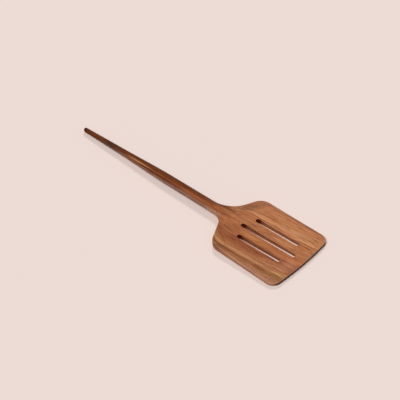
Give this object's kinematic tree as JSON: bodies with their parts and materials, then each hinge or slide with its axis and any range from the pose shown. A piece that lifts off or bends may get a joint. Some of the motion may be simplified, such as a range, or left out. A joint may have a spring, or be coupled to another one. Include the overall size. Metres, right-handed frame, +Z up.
{
  "type": "slotted wooden spatula",
  "caption": "Wooden spatula carved from one board, with a slim rounded handle that swells to the neck and a thin flat blade with three draining slots.",
  "frame": {"origin": "on the surface that the spatula lies on, below the middle of its length and width", "axes": "+X along the handle towards the blade's front edge, +Y towards the blade's left side edge seen from above with the handle towards the viewer, +Z up out of the blade's top face"},
  "size_m": [0.33, 0.0964, 0.0104],
  "materials": {
    "oiled_acacia": "oiled satin"
  },
  "bodies": {
    "root": {"spatula": "oiled_acacia"}
  },
  "joints": []
}
